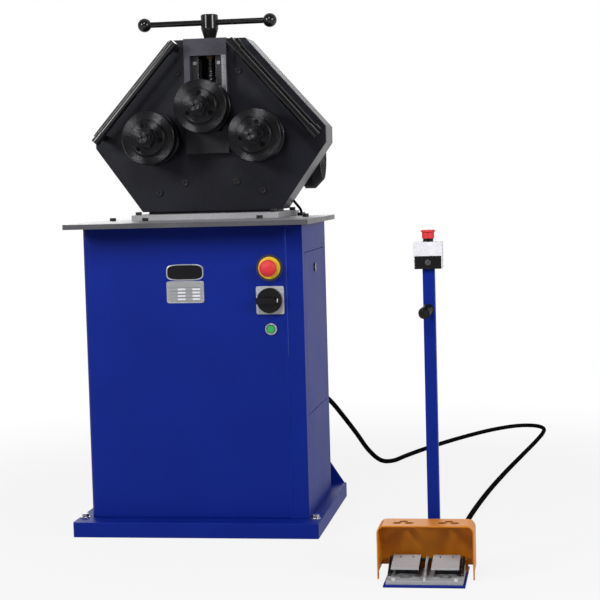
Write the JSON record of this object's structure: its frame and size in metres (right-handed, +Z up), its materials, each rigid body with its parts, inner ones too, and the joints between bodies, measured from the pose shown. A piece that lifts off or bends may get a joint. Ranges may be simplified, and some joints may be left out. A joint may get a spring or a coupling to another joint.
{
  "type": "angle roll bender",
  "caption": "Cabinet roll bender with a geared six-sided head, ringed bending rolls, a hand-screwed top slide, a geared motor and a cabled foot station with pedals and a remote stop.",
  "frame": {"origin": "centre of the base's underside, on the floor", "axes": "+X to the operator's right, +Y from the front to the back, +Z up"},
  "size_m": [1.1212, 2.1668, 1.273],
  "materials": {
    "blue_paint": "semi-gloss powder coat",
    "table_grey": "satin paint",
    "charcoal_paint": "fine textured paint",
    "roll_steel": "blackened and turned",
    "shaft_steel": "turned",
    "bright_steel": "ground",
    "zinc": "zinc plated",
    "gear_steel": "milled and oiled",
    "bronze": "turned",
    "black_metal": "black gloss",
    "drive_grey": "satin paint",
    "cowl_grey": "satin paint",
    "black_plastic": "moulded",
    "grey_plastic": "moulded",
    "yellow_plastic": "moulded",
    "red_plastic": "moulded",
    "green_plastic": "moulded",
    "orange_paint": "semi-gloss paint",
    "pedal_grey": "satin paint",
    "white_plastic": "moulded",
    "cable_rubber": "matt sheath"
  },
  "bodies": {
    "frame": {"base_tray": "blue_paint", "cabinet_wrap": "blue_paint", "cabinet_side": "blue_paint", "back_panel": "blue_paint", "pedal_stand": "blue_paint", "table_plate": "table_grey", "head_base_plate": "table_grey", "front_plate": "charcoal_paint", "housing_rim": "charcoal_paint", "back_plate": "charcoal_paint", "slide_frame": "charcoal_paint", "bearing_covers": "charcoal_paint", "slide_strips": "bright_steel", "lower_bearings": "bright_steel", "button_bezel": "bright_steel", "floor_bolts": "zinc", "slide_rails": "gear_steel", "nut_bush": "bronze", "machine_screws": "black_metal", "guide_bars": "black_metal", "guide_posts": "black_metal", "gearbox_housing": "drive_grey", "motor_body": "drive_grey", "terminal_box": "drive_grey", "fan_cowl": "cowl_grey", "column_grip": "black_plastic", "remote_trim": "black_plastic", "cable_glands": "black_plastic", "switch_plate": "grey_plastic", "electrics_plate": "grey_plastic", "estop_collar": "yellow_plastic", "pedal_guard": "orange_paint", "pedal_frame": "pedal_grey", "remote_box": "white_plastic", "pedal_cable": "cable_rubber", "motor_lead": "cable_rubber"},
    "top_slide": {"slide_block": "gear_steel", "slide_bearings": "bright_steel"},
    "top_roll": {"top_shaft": "shaft_steel", "top_roll_rings": "roll_steel", "top_roll_nut": "shaft_steel"},
    "left_roll": {"left_shaft": "shaft_steel", "left_roll_rings": "roll_steel", "left_roll_nut": "shaft_steel", "left_gear": "gear_steel"},
    "right_roll": {"right_shaft": "shaft_steel", "right_roll_rings": "roll_steel", "right_roll_nut": "shaft_steel", "right_gear": "gear_steel"},
    "pinion": {"drive_pinion": "gear_steel"},
    "screw_and_handle": {"lifting_screw": "bright_steel", "t_handle": "black_metal"},
    "stop_button": {"estop_mushroom": "red_plastic"},
    "main_switch": {"switch_knob": "black_plastic"},
    "start": {"start_button": "green_plastic"},
    "remote_stop": {"remote_mushroom": "red_plastic"},
    "pedal_left": {"left_pedal": "pedal_grey"},
    "pedal_right": {"right_pedal": "pedal_grey"},
    "door": {"side_door": "blue_paint"},
    "lock": {"door_lock": "black_metal"}
  },
  "joints": [
    {"name": "top_slide_lift", "type": "slide", "parent": "frame", "child": "top_slide", "axis": [0, 0, 1], "range_m": [0, 0.0701]},
    {"name": "screw_turn", "type": "hinge", "parent": "top_slide", "child": "screw_and_handle", "pos_m": [0, 0.092, 1.2], "axis": [0, 0, 1], "range_deg": [0, 2520]},
    {"name": "top_roll_turn", "type": "hinge", "parent": "top_slide", "child": "top_roll", "pos_m": [0, 0, 1.035], "axis": [0, 1, 0], "continuous": true},
    {"name": "left_roll_turn", "type": "hinge", "parent": "frame", "child": "left_roll", "pos_m": [-0.134, 0, 0.96], "axis": [0, 1, 0], "continuous": true},
    {"name": "right_roll_turn", "type": "hinge", "parent": "frame", "child": "right_roll", "pos_m": [0.134, 0, 0.96], "axis": [0, 1, 0], "continuous": true},
    {"name": "pinion_turn", "type": "hinge", "parent": "frame", "child": "pinion", "pos_m": [0, 0.135, 0.96], "axis": [0, 1, 0], "continuous": true},
    {"name": "stop_press", "type": "slide", "parent": "frame", "child": "stop_button", "axis": [0, 1, 0], "range_m": [0, 0.006]},
    {"name": "switch_turn", "type": "hinge", "parent": "frame", "child": "main_switch", "pos_m": [0.19, -0.21, 0.563], "axis": [0, 1, 0], "range_deg": [0, 90]},
    {"name": "start_press", "type": "slide", "parent": "frame", "child": "start", "axis": [0, 1, 0], "range_m": [0, 0.004], "stiffness_N_per_m": 800},
    {"name": "remote_press", "type": "slide", "parent": "frame", "child": "remote_stop", "axis": [0, 0, -1], "range_m": [0, 0.005]},
    {"name": "left_pedal_press", "type": "hinge", "parent": "frame", "child": "pedal_left", "pos_m": [0.542, -0.602, 0.034], "axis": [1, 0, 0], "range_deg": [0, 8], "stiffness_Nm_per_rad": 3, "springref_deg": -11.46},
    {"name": "right_pedal_press", "type": "hinge", "parent": "frame", "child": "pedal_right", "pos_m": [0.626, -0.602, 0.034], "axis": [1, 0, 0], "range_deg": [0, 8], "stiffness_Nm_per_rad": 3, "springref_deg": -11.46},
    {"name": "door_tilt", "type": "hinge", "parent": "frame", "child": "door", "pos_m": [0.267, -0.014, 0.283], "axis": [0, 1, 0], "range_deg": [0, 80]},
    {"name": "lock_turn", "type": "hinge", "parent": "door", "child": "lock", "pos_m": [0.27, -0.014, 0.63], "axis": [1, 0, 0], "range_deg": [-90, 0]}
  ],
  "couplings": [
    {"joint": "top_slide_lift", "follows": "screw_turn", "m_per_rad": 0.0015915},
    {"joint": "right_roll_turn", "follows": "left_roll_turn", "ratio": 1},
    {"joint": "pinion_turn", "follows": "left_roll_turn", "ratio": -1.913}
  ]
}
